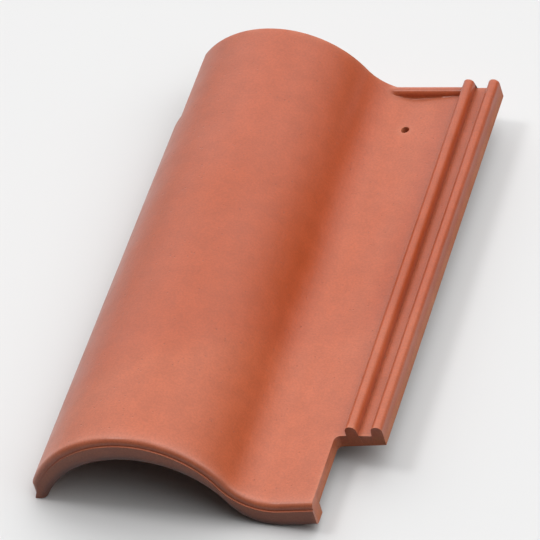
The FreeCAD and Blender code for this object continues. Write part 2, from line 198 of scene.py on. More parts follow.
def arc(centre, radius, bearings):
    """Points of an arc by their bearings from its centre."""
    across = centre[0] + radius * np.cos(bearings)
    return np.column_stack([across, centre[1] + radius * np.sin(bearings)])


def crest_arc(radius, turns, crest):
    """Points of an arc below a crest, by how far they have turned from upright, left negative."""
    return np.column_stack([radius * np.sin(turns), crest - radius + radius * np.cos(turns)])


def roll_sizes(share):
    """Reach of the foot and radii of both arcs and the pan, where the roll has narrowed by a share."""
    reach = FOOT_REACH - FOOT_TAPER * share
    left = FOOT_RADIUS * reach / FOOT_REACH
    return Roll(reach, left, ROLL_RADIUS - ROLL_TAPER * share, PAN_RADIUS + ROLL_TAPER * share)


def pan_height(across, share, drop=0.0, sink=0.0):
    """Height of the pan and of its flat continuation to the right."""
    pan = roll_sizes(share).pan
    radius = pan + drop
    aside = np.asarray(across, float) - PAN_CENTRE
    end = radius * math.sin(PAN_SLOPE)
    on_arc = radius * np.cos(np.arcsin(np.clip(aside / radius, -1, math.sin(PAN_SLOPE))))
    return BODY_THICK + pan - sink - on_arc + np.maximum(aside - end, 0) * math.tan(PAN_SLOPE)


def foot_limb(share, drop):
    """Upright face of the foot, its rounded bend and the left arc as far as the corner cut."""
    roll = roll_sizes(share)
    bend = FOOT_ROUND * roll.reach / FOOT_REACH
    inset = roll.reach - bend
    lift = math.sqrt((roll.left - bend) ** 2 - inset**2)
    bend_level = CREST - roll.left + lift
    lean = math.atan2(lift, inset)
    shoulder = run(lean - math.pi / 2, math.asin(CUT / (roll.left - drop)), SHOULDER_STEPS)
    outside = drop - roll.reach
    return np.vstack([
        straight((outside, FOOT_LEVEL), (outside, bend_level), FACE_STEPS),
        arc((-inset, bend_level), bend - drop, run(math.pi, math.pi - lean, BEND_STEPS)),
        crest_arc(roll.left - drop, shoulder, CREST - drop),
    ])


def inner_limb(share):
    """Upright inner face of the foot and the underside of the left arc as far as the corner cut."""
    left = roll_sizes(share).left
    radius = left - BODY_THICK
    reach = radius * math.sin(INNER_TURN)
    top = CREST - left + radius * math.cos(INNER_TURN)
    turns = run(-INNER_TURN, math.asin(CUT / radius), BEND_STEPS + SHOULDER_STEPS)
    return np.vstack([
        straight((-reach, FOOT_LEVEL), (-reach, top), FACE_STEPS),
        crest_arc(radius, turns, CREST - BODY_THICK),
    ])


def land_limb(share, drop, sink):
    """Left arc of the nose from the level of the foot's land as far as the corner cut."""
    radius = roll_sizes(share).left - drop
    crest = CREST - drop - sink
    turns = run(-math.acos(1 - (crest - FOOT_LEVEL) / radius), math.asin(CUT / radius), CUT_COLUMN)
    return crest_arc(radius, turns, crest)


def s_run(share, drop=0.0, sink=0.0):
    """The S curve from the corner cut over the crest and through the pan to the first rib."""
    roll = roll_sizes(share)
    crest = CREST - drop - sink
    left = roll.left - drop
    pan = roll.pan + drop
    pan_axis = PAN_CENTRE, BODY_THICK + roll.pan - sink
    swing = run(-FLANK_TURN, -math.asin(HOLE_BLOCK / pan), PAN_STEPS)
    across = np.concatenate([
        run(PAN_CENTRE - HOLE_BLOCK, PAN_CENTRE + HOLE_BLOCK, HOLE_STEPS),
        run(PAN_CENTRE + HOLE_BLOCK, NOSE_END, SEAT_STEPS),
        [NOSE_END],
        run(NOSE_END + NOTCH_ROUND, RIB_START, GAP_STEPS),
    ])
    return np.vstack([
        crest_arc(left, run(math.asin(CUT / left), 0, LEFT_STEPS), crest),
        crest_arc(roll.right - drop, run(0, FLANK_TURN, RIGHT_STEPS), crest),
        arc(pan_axis, pan, swing - math.pi / 2),
        np.column_stack([across, pan_height(across, share, drop, sink)]),
    ])


def rib_run(share):
    """The two round-topped lock ribs with the groove between them."""
    base = float(pan_height(RIB_START, share))
    half = RIB_WIDTH / 2
    shoulder = base + RIB_HEIGHT - half
    second = RIB_START + RIB_WIDTH + GROOVE_WIDTH
    rows = []
    for left in (RIB_START, second):
        right = left + RIB_WIDTH
        rows.append(straight((left, base), (left, shoulder), RIB_SIDE_STEPS))
        rows.append(arc((left + half, shoulder), half, run(math.pi, 0, RIB_TOP_STEPS)))
        if left < second:
            rows.append(straight((right, shoulder), (right, base), RIB_SIDE_STEPS))
            rows.append(straight((right, base), (second, base), GROOVE_STEPS))
    rows.append([(RIGHT_EDGE, shoulder)])
    return np.vstack(rows)


def under_run(share, drop, sink=0.0):
    """The flat underside below the lock ribs, with as many points as they have."""
    across = np.linspace(RIB_START, RIGHT_EDGE, len(rib_run(share)))
    return np.column_stack([across, pan_height(across, share, drop, sink)])


def upper_row(share, drop=0.0):
    """A row over the upper side, set into the clay by a drop."""
    return np.vstack([foot_limb(share, drop), s_run(share, drop), rib_run(share)])


def lower_row(share):
    """A row over the underside of the shell."""
    return np.vstack([inner_limb(share), s_run(share, BODY_THICK), under_run(share, BODY_THICK)])


def nose_row(share, drop, sink):
    """A row over the ledge or the nose, set in by a drop and lowered by a sink."""
    left = land_limb(share, drop, sink)
    return np.vstack([left, s_run(share, drop, sink), under_run(share, drop, sink)])


def outside_nose(row):
    """Push the foot of a lip row out to the nose, which shows there beside the lip."""
    radius = FOOT_RADIUS - LEDGE_DROP
    up = row[:CUT_COLUMN, 1] - (CREST - FOOT_RADIUS)
    edge = -np.sqrt(np.maximum(radius**2 - up**2, 0))
    row[:CUT_COLUMN, 0] = np.minimum(row[:CUT_COLUMN, 0], edge)
    return row


# The rows set along the tile, front first, for the upper side and for the underside

def at_station(row, station):
    """The points of a row, set at a station along the tile."""
    return np.column_stack([row[:, 0], np.full(len(row), station), row[:, 1]])


def share_at(station):
    """Share of the taper at a station, none on the straight run at the front."""
    return max(0.0, (station - SHELL_START) / (HEAD - SHELL_START))


def front_upper():
    """Rows over the ledge, round the lip and on to the start of the taper."""
    ledge = nose_row(0.0, LEDGE_DROP, 0.0)
    lip_front = FRONT + LEDGE_WIDTH
    rows = [at_station(ledge, station) for station in np.linspace(FRONT, lip_front, LEDGE_ROWS)]
    for turn in np.linspace(0, math.pi / 2, LIP_STEPS + 1):
        row = outside_nose(upper_row(0.0, LIP_RADIUS * (1 - math.sin(turn))))
        rows.append(at_station(row, lip_front + LIP_RADIUS * (1 - math.cos(turn))))
    for station in np.linspace(lip_front + LIP_RADIUS, SHELL_START, FRONT_RUN_STEPS + 1)[1:]:
        rows.append(at_station(upper_row(0.0), station))
    return rows


def front_lower():
    """Rows round the lower edge of the nose, along its bottom and up its back."""
    bottom = nose_row(LAP_SHARE, 0.0, STEP)
    rows = []
    for turn in np.linspace(0, math.pi / 2, NOSE_ROUND_STEPS + 1):
        row = nose_row(LAP_SHARE, NOSE_ROUND * (math.sin(turn) - 1), STEP)
        rows.append(at_station(row, FRONT + NOSE_ROUND * (1 - math.cos(turn))))
    for station in np.linspace(FRONT + NOSE_ROUND, SHELL_START, NOSE_UNDER_STEPS + 1)[1:]:
        rows.append(at_station(bottom, station))
    under = lower_row(0.0)
    for part in np.linspace(0, 1, NOSE_BACK_STEPS + 1)[1:]:
        rows.append(at_station(bottom + part * (under - bottom), SHELL_START))
    return rows


def body_stations():
    """Stations behind the nose, dense at the bar, with one at every break of the outline."""
    breaks = [SHELL_START, NOTCH_BACK - NOTCH_ROUND, NOTCH_BACK, CUT_FRONT]
    breaks += [HOLE_STATION - HOLE_BLOCK, HOLE_STATION + HOLE_BLOCK, BAR_START]
    set_steps = {NOTCH_BACK: 1, HOLE_STATION + HOLE_BLOCK: HOLE_STEPS}
    found = []
    for first, last in zip(breaks, breaks[1:]):
        spaced = max(1, round((last - first) / BODY_SPACING))
        found += list(run(first, last, set_steps.get(last, spaced)))
    found += list(run(BAR_START, BAR_FRONT, BAR_FOOT_STEPS))
    turns = np.linspace(math.pi, 0, BAR_ROUND_STEPS + 1)
    found += list(BAR_MIDDLE + BAR_RADIUS * np.cos(turns))
    return found[1:]


def add_bar(row):
    """Raise the pan to the weather bar: the higher of the two, eased over a small fillet."""
    station = row[0, 1]
    bar = BAR_SHOULDER + math.sqrt(max(BAR_RADIUS**2 - (station - BAR_MIDDLE) ** 2, 0.0))
    bar -= BAR_FOOT_SLOPE * max(BAR_FRONT - station, 0.0)
    in_reach = (row[:, 0] > 0) & (row[:, 0] < BAR_RIGHT)
    height = row[in_reach, 2]
    mix = np.clip((BAR_FILLET + bar - height) / (2 * BAR_FILLET), 0, 1)
    row[in_reach, 2] = height * (1 - mix) + bar * mix + BAR_FILLET * mix * (1 - mix)
    return row


upper_rows = front_upper()
lower_rows = front_lower()
for station in body_stations():
    share = share_at(station)
    upper = at_station(upper_row(share), station)
    upper_rows.append(add_bar(upper) if station > BAR_START else upper)
    lower_rows.append(at_station(lower_row(share), station))
upper_grid = np.array(upper_rows)
lower_grid = np.array(lower_rows)
ROWS, COLUMNS = upper_grid.shape[:2]


def row_at(station):
    """Row of the grid nearest to a station."""
    return int(np.argmin(abs(upper_grid[:, 0, 1] - station)))


notch_row = row_at(NOTCH_BACK)
cut_row = row_at(CUT_FRONT)
hole_row = row_at(HOLE_STATION - HOLE_BLOCK)

# Block of the underside that the nib's flared root takes up
nib_reach = NIB_FLARE + NIB_MARGIN
stations = lower_grid[:, -1, 1]
nib_first_row = int(np.searchsorted(stations, NIB_BACK - NIB_LENGTH - nib_reach)) - 1
nib_last_row = int(np.searchsorted(stations, NIB_BACK + nib_reach))
nib_columns = lower_grid[nib_first_row, :, 0]
nib_first_column = int(np.searchsorted(nib_columns, PAN_CENTRE - NIB_WIDTH / 2 - nib_reach)) - 1
nib_last_column = int(np.searchsorted(nib_columns, PAN_CENTRE + NIB_WIDTH / 2 + nib_reach))


# The mesh: two grids, walls along every outer edge, the notch's web, the nail hole and the nib

SLIPPED = 0.0
BARE = 1.0
mesh = bmesh.new()
raw_layer = mesh.verts.layers.float.new("raw")


def vertex(point, raw):
    """A vertex at a point in millimetres, marked as slipped or bare clay."""
    made = mesh.verts.new(Vector(point) * MILLIMETRE)
    made[raw_layer] = raw
    return made


def face(*corners):
    """A face, unless too few of its corners differ."""
    distinct = list(dict.fromkeys(corners))
    if len(distinct) > 2:
        mesh.faces.new(distinct)


def band(ring, following):
    """Faces between two rings of as many vertices."""
    for index in range(len(ring)):
        after = (index + 1) % len(ring)
        face(ring[index], ring[after], following[after], following[index])


tops = [[vertex(point, SLIPPED) for point in row] for row in upper_grid]
unders = []
for index, row in enumerate(lower_grid):
    raw = SLIPPED if index < NOSE_ROUND_STEPS else BARE
    unders.append([vertex(point, raw) for point in row])


def is_clay(row, column):
    """True where a cell of the grid belongs to the tile."""
    if not (0 <= row < ROWS - 1 and 0 <= column < COLUMNS - 1):
        return False
    in_notch = column >= NOTCH_COLUMN and row < notch_row
    in_cut = column < CUT_COLUMN and row >= cut_row
    return not in_notch and not in_cut


def in_hole(row, column):
    return hole_row <= row < hole_row + HOLE_STEPS and HOLE_COLUMN <= column < HOLE_COLUMN + HOLE_STEPS


def under_nib(row, column):
    return nib_first_row <= row < nib_last_row and nib_first_column <= column < nib_last_column


def in_web(row, column):
    return row == notch_row - 1 and column == NOTCH_COLUMN


def block_loop(first_row, last_row, first_column, last_column):
    """Places of the grid's nodes round a block of cells, in order."""
    loop = [(first_row, column) for column in range(first_column, last_column)]
    loop += [(row, last_column) for row in range(first_row, last_row)]
    loop += [(last_row, column) for column in range(last_column, first_column, -1)]
    loop += [(row, first_column) for row in range(last_row, first_row, -1)]
    return loop


def wall(first, second):
    """Join the upper and lower grid between two neighbouring nodes of the outline."""
    (row_a, column_a), (row_b, column_b) = first, second
    face(tops[row_a][column_a], unders[row_a][column_a], unders[row_b][column_b], tops[row_b][column_b])


def cell(row, column):
    """Upper and lower face of one cell, with walls where the tile ends beside it."""
    corners = [(row, column), (row, column + 1), (row + 1, column + 1), (row + 1, column)]
    if not in_hole(row, column):
        face(*[tops[a][b] for a, b in corners])
    if not in_hole(row, column) and not under_nib(row, column):
        face(*[unders[a][b] for a, b in reversed(corners)])
    beyond = [(row - 1, column), (row, column + 1), (row + 1, column), (row, column - 1)]
    for side, (first, second) in zip(beyond, zip(corners, corners[1:] + corners[:1])):
        if not is_clay(*side) and not in_web(*side):
            wall(first, second)


def web():
    """Rounded inner corner of the notch at the front right."""
    corner = tops[notch_row][NOTCH_COLUMN], unders[notch_row][NOTCH_COLUMN]
    rim = [(tops[notch_row - 1][NOTCH_COLUMN], unders[notch_row - 1][NOTCH_COLUMN])]
    for turn in np.linspace(math.pi, math.pi / 2, WEB_STEPS + 1)[1:-1]:
        across = NOSE_END + NOTCH_ROUND * (1 + math.cos(turn))
        along = NOTCH_BACK - NOTCH_ROUND * (1 - math.sin(turn))
        share = share_at(along)
        top = vertex((across, along, pan_height(across, share)), SLIPPED)
        rim.append((top, vertex((across, along, pan_height(across, share, BODY_THICK)), BARE)))
    rim.append((tops[notch_row][NOTCH_COLUMN + 1], unders[notch_row][NOTCH_COLUMN + 1]))
    for (top_a, under_a), (top_b, under_b) in zip(rim, rim[1:]):
        face(corner[0], top_a, top_b)
        face(corner[1], under_b, under_a)
        face(top_a, under_a, under_b, top_b)


# Rings of the nail hole, from collar to mouth: radius as a share of the bore's, and depth in millimetres
HOLE_COLLAR = (1.5, 0.0)
HOLE_RIM = (1.22, 0.0)
HOLE_SHOULDER = (1.08, 0.12)
HOLE_MOUTH = (1.0, 0.6)


def nail_hole():
    """The bore with a slightly sunk mouth at either end, in a block left out of both grids."""
    block = block_loop(hole_row, hole_row + HOLE_STEPS, HOLE_COLUMN, HOLE_COLUMN + HOLE_STEPS)
    mouths = []
    for grid, drop, inward, raw in ((tops, 0.0, -1, SLIPPED), (unders, BODY_THICK, 1, BARE)):
        ring = [grid[row][column] for row, column in block]
        bearings = []
        for node in ring:
            ahead = node.co.y / MILLIMETRE - HOLE_STATION
            aside = node.co.x / MILLIMETRE - PAN_CENTRE
            bearings.append(math.atan2(ahead, aside))
        for size, depth in (HOLE_COLLAR, HOLE_RIM, HOLE_SHOULDER, HOLE_MOUTH):
            radius = size * HOLE_DIAMETER / 2
            following = []
            for bearing in bearings:
                across = PAN_CENTRE + radius * math.cos(bearing)
                along = HOLE_STATION + radius * math.sin(bearing)
                height = pan_height(across, share_at(along), drop) + inward * depth
                following.append(vertex((across, along, height), raw if depth == 0 else BARE))
            if grid is tops:
                band(ring, following)
            else:
                band(following, ring)
            ring = following
        mouths.append(ring)
    band(*mouths)


def nib_outline(outward):
    """Plan of the nib, a rounded rectangle grown outward by a length."""
    corner = NIB_ROUND + outward
    half = NIB_WIDTH / 2 - NIB_ROUND, NIB_LENGTH / 2 - NIB_ROUND
    middle = PAN_CENTRE, NIB_BACK - NIB_LENGTH / 2
    signs = ((1, -1), (1, 1), (-1, 1), (-1, -1))
    centres = [(middle[0] + right * half[0], middle[1] + back * half[1]) for right, back in signs]
    points = []
    for index, (centre, following) in enumerate(zip(centres, centres[1:] + centres[:1])):
        start = (index - 1) * math.pi / 2
        for turn in np.linspace(start, start + math.pi / 2, NIB_CORNER_STEPS + 1):
            points.append((centre[0] + corner * math.cos(turn), centre[1] + corner * math.sin(turn)))
        end = points[-1]
        side = following[0] - centre[0], following[1] - centre[1]
        for part in np.linspace(0, 1, NIB_SIDE_STEPS + 1)[1:-1]:
            points.append((end[0] + part * side[0], end[1] + part * side[1]))
    return points


def floor_height(across):
    """Height of the floor under the resting tile, in the frame of the laid one."""
    return FOOT_LEVEL - math.tan(TIP) * (across + FOOT_REACH)


def nib():
    """The hanging nib: flat foot, rounded edges, upright sides and a root flared into the underside."""
    rings = []
    for turn in np.linspace(0, math.pi / 2, NIB_ROUND_STEPS + 1):
        outline = nib_outline(NIB_ROUND * (math.sin(turn) - 1))
        lift = NIB_ROUND * (1 - math.cos(turn))
        rings.append([(x, y, floor_height(x) + lift) for x, y in outline])
    for turn in np.linspace(0, math.pi / 2, NIB_ROUND_STEPS + 1):
        outline = nib_outline(NIB_FLARE * (1 - math.cos(turn)))
        below = NIB_FLARE * (1 - math.sin(turn))
        rings.append([(x, y, pan_height(x, share_at(y), BODY_THICK) - below) for x, y in outline])
    made = [[vertex(point, BARE) for point in ring] for ring in rings]
    for lower, higher in zip(made, made[1:]):
        band(lower, higher)
    mesh.faces.new(list(reversed(made[0])))
    block = block_loop(nib_first_row, nib_last_row, nib_first_column, nib_last_column)
    rims = [[unders[row][column] for row, column in block], made[-1]]
    edges = [mesh.edges.get(pair) for rim in rims for pair in zip(rim, rim[1:] + rim[:1])]
    bmesh.ops.bridge_loops(mesh, edges=edges)


for row in range(ROWS - 1):
    for column in range(COLUMNS - 1):
        if is_clay(row, column):
            cell(row, column)
web()
nail_hole()
nib()

# Clean up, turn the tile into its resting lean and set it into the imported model's box
MERGE_DISTANCE = 0.0001 * MILLIMETRE
bmesh.ops.delete(mesh, geom=[node for node in mesh.verts if not node.link_faces], context="VERTS")
bmesh.ops.remove_doubles(mesh, verts=mesh.verts[:], dist=MERGE_DISTANCE)
bmesh.ops.recalc_face_normals(mesh, faces=mesh.faces[:])
bmesh.ops.rotate(mesh, cent=(0, 0, 0), matrix=LEAN, verts=mesh.verts[:])
corners = np.array([node.co for node in mesh.verts])
low, high = corners.min(0), corners.max(0)
shift = (cad_box[0] + cad_box[1]) / 2 - Vector((low + high) / 2)
shift.z = cad_box[0].z - low[2]
bmesh.ops.translate(mesh, vec=shift, verts=mesh.verts[:])


# Marks on the mesh for the material, fading away from outer edges, inner corners, lip and nose: wear with
# a painted ledge highlight, dust with painted shade, a painted lip highlight and painted shade on the
# nose

EDGE_TURN = math.radians(25)
WEAR_AND_HIGHLIGHT_REACH = 2.2 * MILLIMETRE
DUST_AND_SHADE_REACH = 3.5 * MILLIMETRE
LIP_HIGHLIGHT_REACH = 4.0 * MILLIMETRE
NOSE_SHADE_REACH = 0.8 * MILLIMETRE


def nearness(spots, reach):
    """For every point of the mesh, from 1 at the nearest of the spots down to 0 far from all."""
    tree = KDTree(len(spots))
    for index, spot in enumerate(spots):
        tree.insert(spot, index)
    tree.balance()
    return [math.exp(-tree.find(node.co)[2] / reach) for node in mesh.verts]


def turned_edges(outward):
    """Ends and middles of the edges that turn sharply, outward for 1 or inward for -1."""
    spots = []
    for edge in mesh.edges:
        turn = edge.calc_face_angle_signed(0)
        if turn * outward > EDGE_TURN:
            ends = [node.co for node in edge.verts]
            spots += [ends[0], ends[1], (ends[0] + ends[1]) / 2]
    return spots


def row_spots(rows):
    """Places of the nodes that are left of some rows of the grid."""
    return [node.co for row in rows for node in row if node.is_valid]


mesh.normal_update()
lip_highlight_rows = tops[LEDGE_ROWS - 1], tops[LEDGE_ROWS + LIP_STEPS - 1]
nose_shade_rows = unders[:NOSE_ROUND_STEPS]
marks = (
    ("worn_and_highlight", turned_edges(1), WEAR_AND_HIGHLIGHT_REACH),
    ("dust_and_shade", turned_edges(-1), DUST_AND_SHADE_REACH),
    ("lip", row_spots(lip_highlight_rows), LIP_HIGHLIGHT_REACH),
    ("nose_shade", row_spots(nose_shade_rows), NOSE_SHADE_REACH),
)
for name, spots, reach in marks:
    layer = mesh.verts.layers.float.new(name)
    for node, near in zip(mesh.verts, nearness(spots, reach)):
        node[layer] = near

# Slight unevenness of the pressed clay, always inward, with the waves counted by the metre
UNEVEN_DEPTH = 0.22 * MILLIMETRE
UNEVEN_WAVES = 14.0
places = [(node, node.normal.copy(), noise.noise(node.co * UNEVEN_WAVES)) for node in mesh.verts]
for node, normal, wave in places:
    node.co -= normal * UNEVEN_DEPTH * (1 + wave) / 2

# The tile as one piece, with softened edges
SOFT_ANGLE = math.radians(35)
SOFT_WIDTH = 0.5 * MILLIMETRE
SOFT_SEGMENTS = 2
tile_mesh = bpy.data.meshes.new("pantile_body")
mesh.to_mesh(tile_mesh)
mesh.free()
for polygon in tile_mesh.polygons:
    polygon.use_smooth = True
tile = bpy.data.objects.new("pantile_body", tile_mesh)
bpy.context.scene.collection.objects.link(tile)
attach(tile, "root")
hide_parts("roof_pantile")

soften = tile.modifiers.new("soft_edges", "BEVEL")
soften.limit_method = "ANGLE"
soften.angle_limit = SOFT_ANGLE
soften.width = SOFT_WIDTH
soften.segments = SOFT_SEGMENTS
even = tile.modifiers.new("even_shading", "WEIGHTED_NORMAL")
even.keep_sharp = True


# Short ways of setting up shader nodes

NOISE_LOW = 0.3
NOISE_HIGH = 0.7


class Nodes:
    """The nodes of one material or of the world, with its shader."""

    def __init__(self, owner, shader):
        owner.use_nodes = True
        self.tree = owner.node_tree
        self.shader = self.tree.nodes[shader]

    def node(self, kind, **settings):
        made = self.tree.nodes.new(kind)
        for name, setting in settings.items():
            setattr(made, name, setting)
        return made

    def feed(self, socket, source):
        """Link a source to a socket, or set a plain number, vector or colour on it."""
        if isinstance(source, bpy.types.NodeSocket):
            self.tree.links.new(source, socket)
        else:
            socket.default_value = source

    def give(self, name, source):
        """Feed one of the shader's own inputs."""
        self.feed(self.shader.inputs[name], source)

    def place(self, stretch=(1, 1, 1)):
        """Position on the object in metres, stretched along its axes."""
        mapping = self.node("ShaderNodeMapping")
        self.feed(mapping.inputs["Vector"], self.node("ShaderNodeTexCoord").outputs["Object"])
        mapping.inputs["Scale"].default_value = stretch
        return mapping.outputs["Vector"]

    def grain(self, where, scale, detail):
        """Noise at a position, with a scale by the metre."""
        made = self.node("ShaderNodeTexNoise")
        self.feed(made.inputs["Vector"], where)
        made.inputs["Scale"].default_value = scale
        made.inputs["Detail"].default_value = detail
        return made.outputs["Fac"]

    def spread(self, source, low=NOISE_LOW, high=NOISE_HIGH, bottom=0.0, top=1.0):
        """Carry a range of a value smoothly onto another range."""
        made = self.node("ShaderNodeMapRange", interpolation_type="SMOOTHSTEP")
        self.feed(made.inputs["Value"], source)
        ends = {"From Min": low, "From Max": high, "To Min": bottom, "To Max": top}
        for name, setting in ends.items():
            made.inputs[name].default_value = setting
        return made.outputs["Result"]

    def cloud(self, where, scale, detail, **ends):
        """Noise at a position, spread over a range."""
        return self.spread(self.grain(where, scale, detail), **ends)

    def reckon(self, operation, first, second=0.0):
        made = self.node("ShaderNodeMath", operation=operation)
        self.feed(made.inputs[0], first)
        self.feed(made.inputs[1], second)
        return made.outputs["Value"]

    def times(self, first, second):
        return self.reckon("MULTIPLY", first, second)

    def blend(self, factor, first, second, mode="MIX"):
        """Colour between two others by a factor, or their product in the mode MULTIPLY."""
        made = self.node("ShaderNodeMix", data_type="RGBA", blend_type=mode)
        named = {socket.identifier: socket for socket in made.inputs}
        self.feed(named["Factor_Float"], factor)
        self.feed(named["A_Color"], first)
        self.feed(named["B_Color"], second)
        return {socket.identifier: socket for socket in made.outputs}["Result_Color"]

    def mark(self, name):
        """One of the marks on the mesh."""
        return self.node("ShaderNodeAttribute", attribute_name=name).outputs["Fac"]

    def relief(self, height, depth, strength, under=None):
        """Bump from a height, on top of another one."""
        made = self.node("ShaderNodeBump")
        made.inputs["Distance"].default_value = depth
        made.inputs["Strength"].default_value = strength
        self.feed(made.inputs["Height"], height)
        if under is not None:
            self.feed(made.inputs["Normal"], under)
        return made.outputs["Normal"]


# Colours of the fired clay, and of the painted highlights and shade on it
SLIP = (0.480, 0.092, 0.029, 1)
SLIP_PINK = (0.500, 0.102, 0.038, 1)
SLIP_ORANGE = (0.475, 0.086, 0.023, 1)
# Paler slip, painted on as the sheen patch and as the highlight along the pan
SLIP_HIGHLIGHT = (0.560, 0.135, 0.055, 1)
BARE_CLAY = (0.530, 0.165, 0.065, 1)
BARE_PALE = (0.600, 0.240, 0.125, 1)
# Painted highlight on the lip's rounded top edge
LIP_HIGHLIGHT = (0.610, 0.190, 0.110, 1)
# Wear on sharp edges, also a painted highlight on the ledge's edge
EDGE_WEAR_AND_HIGHLIGHT = (0.620, 0.190, 0.095, 1)
DARK_SPECK = (0.190, 0.045, 0.022, 1)
# Dust and painted shade in the inner corners
DUST_AND_SHADE = (0.310, 0.092, 0.042, 1)
# Painted shade, darkening the nose front towards its bottom
NOSE_SHADE = (0.095, 0.026, 0.018, 1)

# Streaks along the tile, and a painted sheen: a pale patch, standing in for a reflection, that starts on
# a slanting, wandering line towards the front
STREAK_STRETCH = (5.0, 0.8, 5.0)
STREAK_STRENGTH = 0.35
SHEEN_PATCH_SLANT = 0.55
SHEEN_PATCH_WANDER = 0.05
SHEEN_PATCH_START = 0.10
SHEEN_PATCH_END = 0.14
SHEEN_PATCH_STRENGTH = 0.65

# Band of slip along the pan, painted paler as a highlight for the light the pan catches, by the distance
# from the pan's middle
PAN_PLACE = (LEAN @ Vector((PAN_CENTRE, 0, BODY_THICK)) * MILLIMETRE + shift).x
PAN_LIGHT_CORE = 12 * MILLIMETRE
PAN_LIGHT_REACH = 30 * MILLIMETRE
PAN_LIGHT_STRENGTH = 0.5

# Strength of dust with painted shade in corners and of specks, finish of slip and bare clay, and depths
# of the fine relief
DUST_AND_SHADE_STRENGTH = 0.45
SPECK_SCALE = 230.0
SPECK_STRENGTH = 0.3
SLIP_SPECULAR = 0.5
BARE_ROUGHNESS = 0.4
COARSE_DEPTH = 0.4 * MILLIMETRE
FINE_DEPTH = 0.2 * MILLIMETRE


def slip(clay, here, along):
    """Colour of the slip: broad drifts, thin streaks, a painted sheen patch and a painted highlight along
    the pan.
    """
    spot = clay.node("ShaderNodeSeparateXYZ")
    clay.feed(spot.inputs["Vector"], here)
    drift = clay.cloud(here, scale=7.0, detail=2.0, low=0.35, high=0.65)
    streak = clay.cloud(along, scale=9.0, detail=4.0, low=0.35, high=0.7)
    colour = clay.blend(drift, SLIP_ORANGE, SLIP_PINK)
    colour = clay.blend(clay.times(streak, STREAK_STRENGTH), colour, SLIP)
    # Painted sheen: paler towards the front, beyond a slanting, wandering line
    ahead = clay.reckon("SUBTRACT", clay.times(spot.outputs["X"], SHEEN_PATCH_SLANT), spot.outputs["Y"])
    wander = clay.times(clay.grain(here, scale=16.0, detail=2.0), SHEEN_PATCH_WANDER)
    line = clay.reckon("ADD", ahead, wander)
    sheen_patch = clay.spread(line, low=SHEEN_PATCH_START, high=SHEEN_PATCH_END, top=SHEEN_PATCH_STRENGTH)
    colour = clay.blend(sheen_patch, colour, SLIP_HIGHLIGHT)
    # Painted highlight: paler slip along the middle of the pan
    aside = clay.reckon("ABSOLUTE", clay.reckon("SUBTRACT", spot.outputs["X"], PAN_PLACE))
    pan_light = clay.spread(aside, low=PAN_LIGHT_CORE, high=PAN_LIGHT_REACH, bottom=PAN_LIGHT_STRENGTH, top=0.0)
    return clay.blend(pan_light, colour, SLIP_HIGHLIGHT)


def bare_clay(clay, here):
    """Colour of the underside, paler and cloudy."""
    return clay.blend(clay.cloud(here, scale=24.0, detail=5.0, low=0.35, high=0.7), BARE_CLAY, BARE_PALE)


def wear_and_painted_light(clay, colour, here, is_bare):
    """Painted shade that fades up the nose, a painted highlight on the lip, worn edges that also paint a
    highlight on the ledge, and dust with painted shade in the corners.
    """
    # Painted shade: darker towards the bottom of the nose front, in patches
    shade_cloud = clay.cloud(here, scale=45.0, detail=4.0, bottom=0.7)
    colour = clay.blend(clay.times(clay.mark("nose_shade"), shade_cloud), colour, NOSE_SHADE)
    # Painted highlight on the lip, on slipped clay only
    slipped = clay.reckon("SUBTRACT", 1.0, is_bare)
    colour = clay.blend(clay.times(clay.mark("lip"), slipped), colour, LIP_HIGHLIGHT)
    # Wear on sharp outer edges, in patches, also standing in as a painted highlight on the ledge's edge
    patchy = clay.cloud(here, scale=90.0, detail=4.0, low=0.35, high=0.6, bottom=0.25, top=0.8)
    colour = clay.blend(clay.times(clay.mark("worn_and_highlight"), patchy), colour, EDGE_WEAR_AND_HIGHLIGHT)
    # Dust and painted shade, darker in the inner corners
    return clay.blend(clay.times(clay.mark("dust_and_shade"), DUST_AND_SHADE_STRENGTH), colour, DUST_AND_SHADE)


def grained(clay, colour, here, fine):
    """The colour with faint mottling and fine grain."""
    mottle = clay.cloud(here, scale=75.0, detail=5.0, bottom=0.955, top=1.045)
    shade = clay.times(mottle, clay.spread(fine, bottom=0.93, top=1.06))
    tone = clay.node("ShaderNodeCombineColor")
    for channel in ("Red", "Green", "Blue"):
        clay.feed(tone.inputs[channel], shade)
    return clay.blend(1.0, colour, tone.outputs["Color"], mode="MULTIPLY")


def scattered_specks(clay, here):
    """Small specks that gather here and there."""
    cells = clay.node("ShaderNodeTexVoronoi")
    clay.feed(cells.inputs["Vector"], here)
    cells.inputs["Scale"].default_value = SPECK_SCALE
    dots = clay.spread(cells.outputs["Distance"], low=0.1, high=0.2, bottom=1.0, top=0.0)
    return clay.times(dots, clay.cloud(here, scale=120.0, detail=2.0, low=0.56, high=0.62))


def fine_relief(clay, here, along, raw, fine, specks):
    """Faint brush of the slip, sandy grain that is stronger on bare clay, and small pits."""
    brush = clay.grain(along, scale=60.0, detail=3.0)
    sandy = clay.times(clay.grain(here, scale=260.0, detail=5.0), clay.spread(raw, bottom=0.25))
    pits = clay.reckon("SUBTRACT", 1.0, specks)
    normal = clay.relief(brush, depth=COARSE_DEPTH, strength=0.25)
    normal = clay.relief(sandy, depth=COARSE_DEPTH, strength=0.5, under=normal)
    normal = clay.relief(fine, depth=FINE_DEPTH, strength=0.3, under=normal)
    return clay.relief(pits, depth=COARSE_DEPTH, strength=0.5, under=normal)


